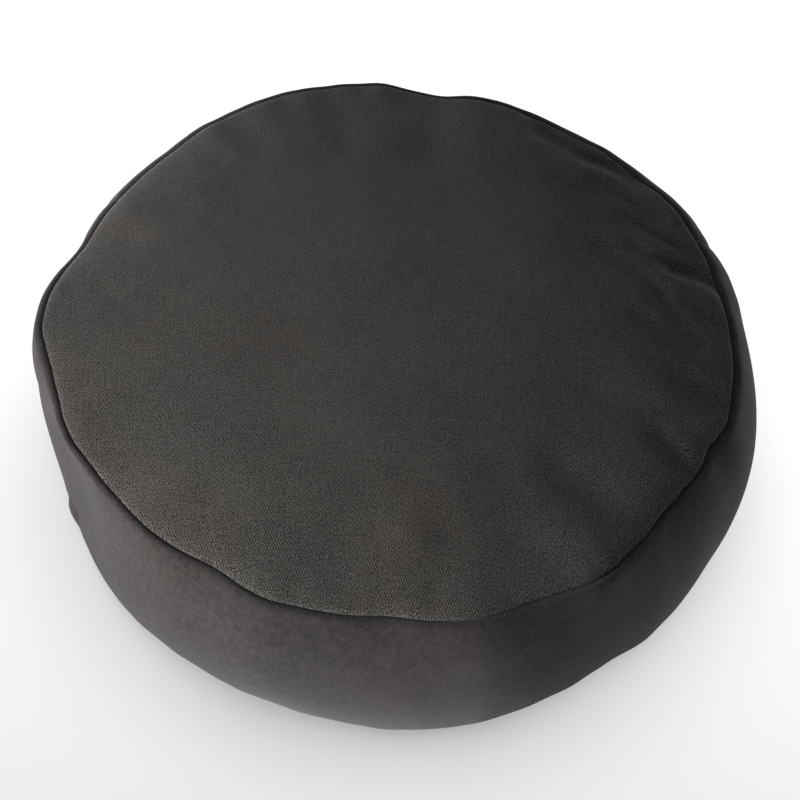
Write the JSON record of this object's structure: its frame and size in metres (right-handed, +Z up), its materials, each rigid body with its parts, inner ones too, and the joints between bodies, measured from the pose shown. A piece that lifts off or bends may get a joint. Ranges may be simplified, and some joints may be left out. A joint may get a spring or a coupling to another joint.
{
  "type": "round floor cushion",
  "caption": "Thick round floor cushion in a plain dark canvas cover with a swelling side band, a domed top and a zip round the back, over a lined, padded foam core.",
  "frame": {"origin": "centre of the flat underside, on the floor", "axes": "+Z up; -Y is the front, and the zip is in the side band at the back, +Y"},
  "size_m": [0.423, 0.4238, 0.1295],
  "materials": {
    "canvas": "plain-woven dark grey cotton canvas, matt",
    "thread": "spun polyester sewing thread, dark grey",
    "zip_tape": "woven polyester tape, dark grey",
    "zip_coil": "nylon coil, satin",
    "zip_metal": "dark nickel, satin",
    "liner": "thin undyed cotton, matt",
    "wadding": "white polyester wadding",
    "foam": "open-cell polyurethane foam"
  },
  "bodies": {
    "cushion": {"top_panel": "canvas", "bottom_panel": "canvas", "side_band_front": "canvas", "side_band_back_upper": "canvas", "side_band_back_lower": "canvas", "top_seam_thread": "thread", "bottom_seam_thread": "thread", "join_thread_right": "thread", "join_thread_left": "thread", "zip_topstitch_upper": "thread", "zip_topstitch_lower": "thread", "zip_tape_upper": "zip_tape", "zip_tape_lower": "zip_tape", "zip_coil_upper": "zip_coil", "zip_coil_lower": "zip_coil", "zip_top_stop_upper": "zip_metal", "zip_top_stop_lower": "zip_metal", "zip_bottom_stop": "zip_metal", "liner_top_panel": "liner", "liner_bottom_panel": "liner", "liner_side_band": "liner", "liner_top_thread": "thread", "liner_bottom_thread": "thread", "wadding_top_sheet": "wadding", "wadding_bottom_sheet": "wadding", "wadding_side_band": "wadding", "foam_core": "foam"},
    "slider": {"zip_slider": "zip_metal"},
    "pull": {"zip_pull": "zip_metal"}
  },
  "joints": [
    {"name": "zip_slide", "type": "hinge", "parent": "cushion", "child": "slider", "pos_m": [0, 0, 0.056], "axis": [0, 0, 1], "range_deg": [0, 109]},
    {"name": "zip_pull_swing", "type": "hinge", "parent": "slider", "child": "pull", "pos_m": [0.17526, 0.12384, 0.056], "axis": [0, 0, -1], "range_deg": [0, 180]}
  ]
}
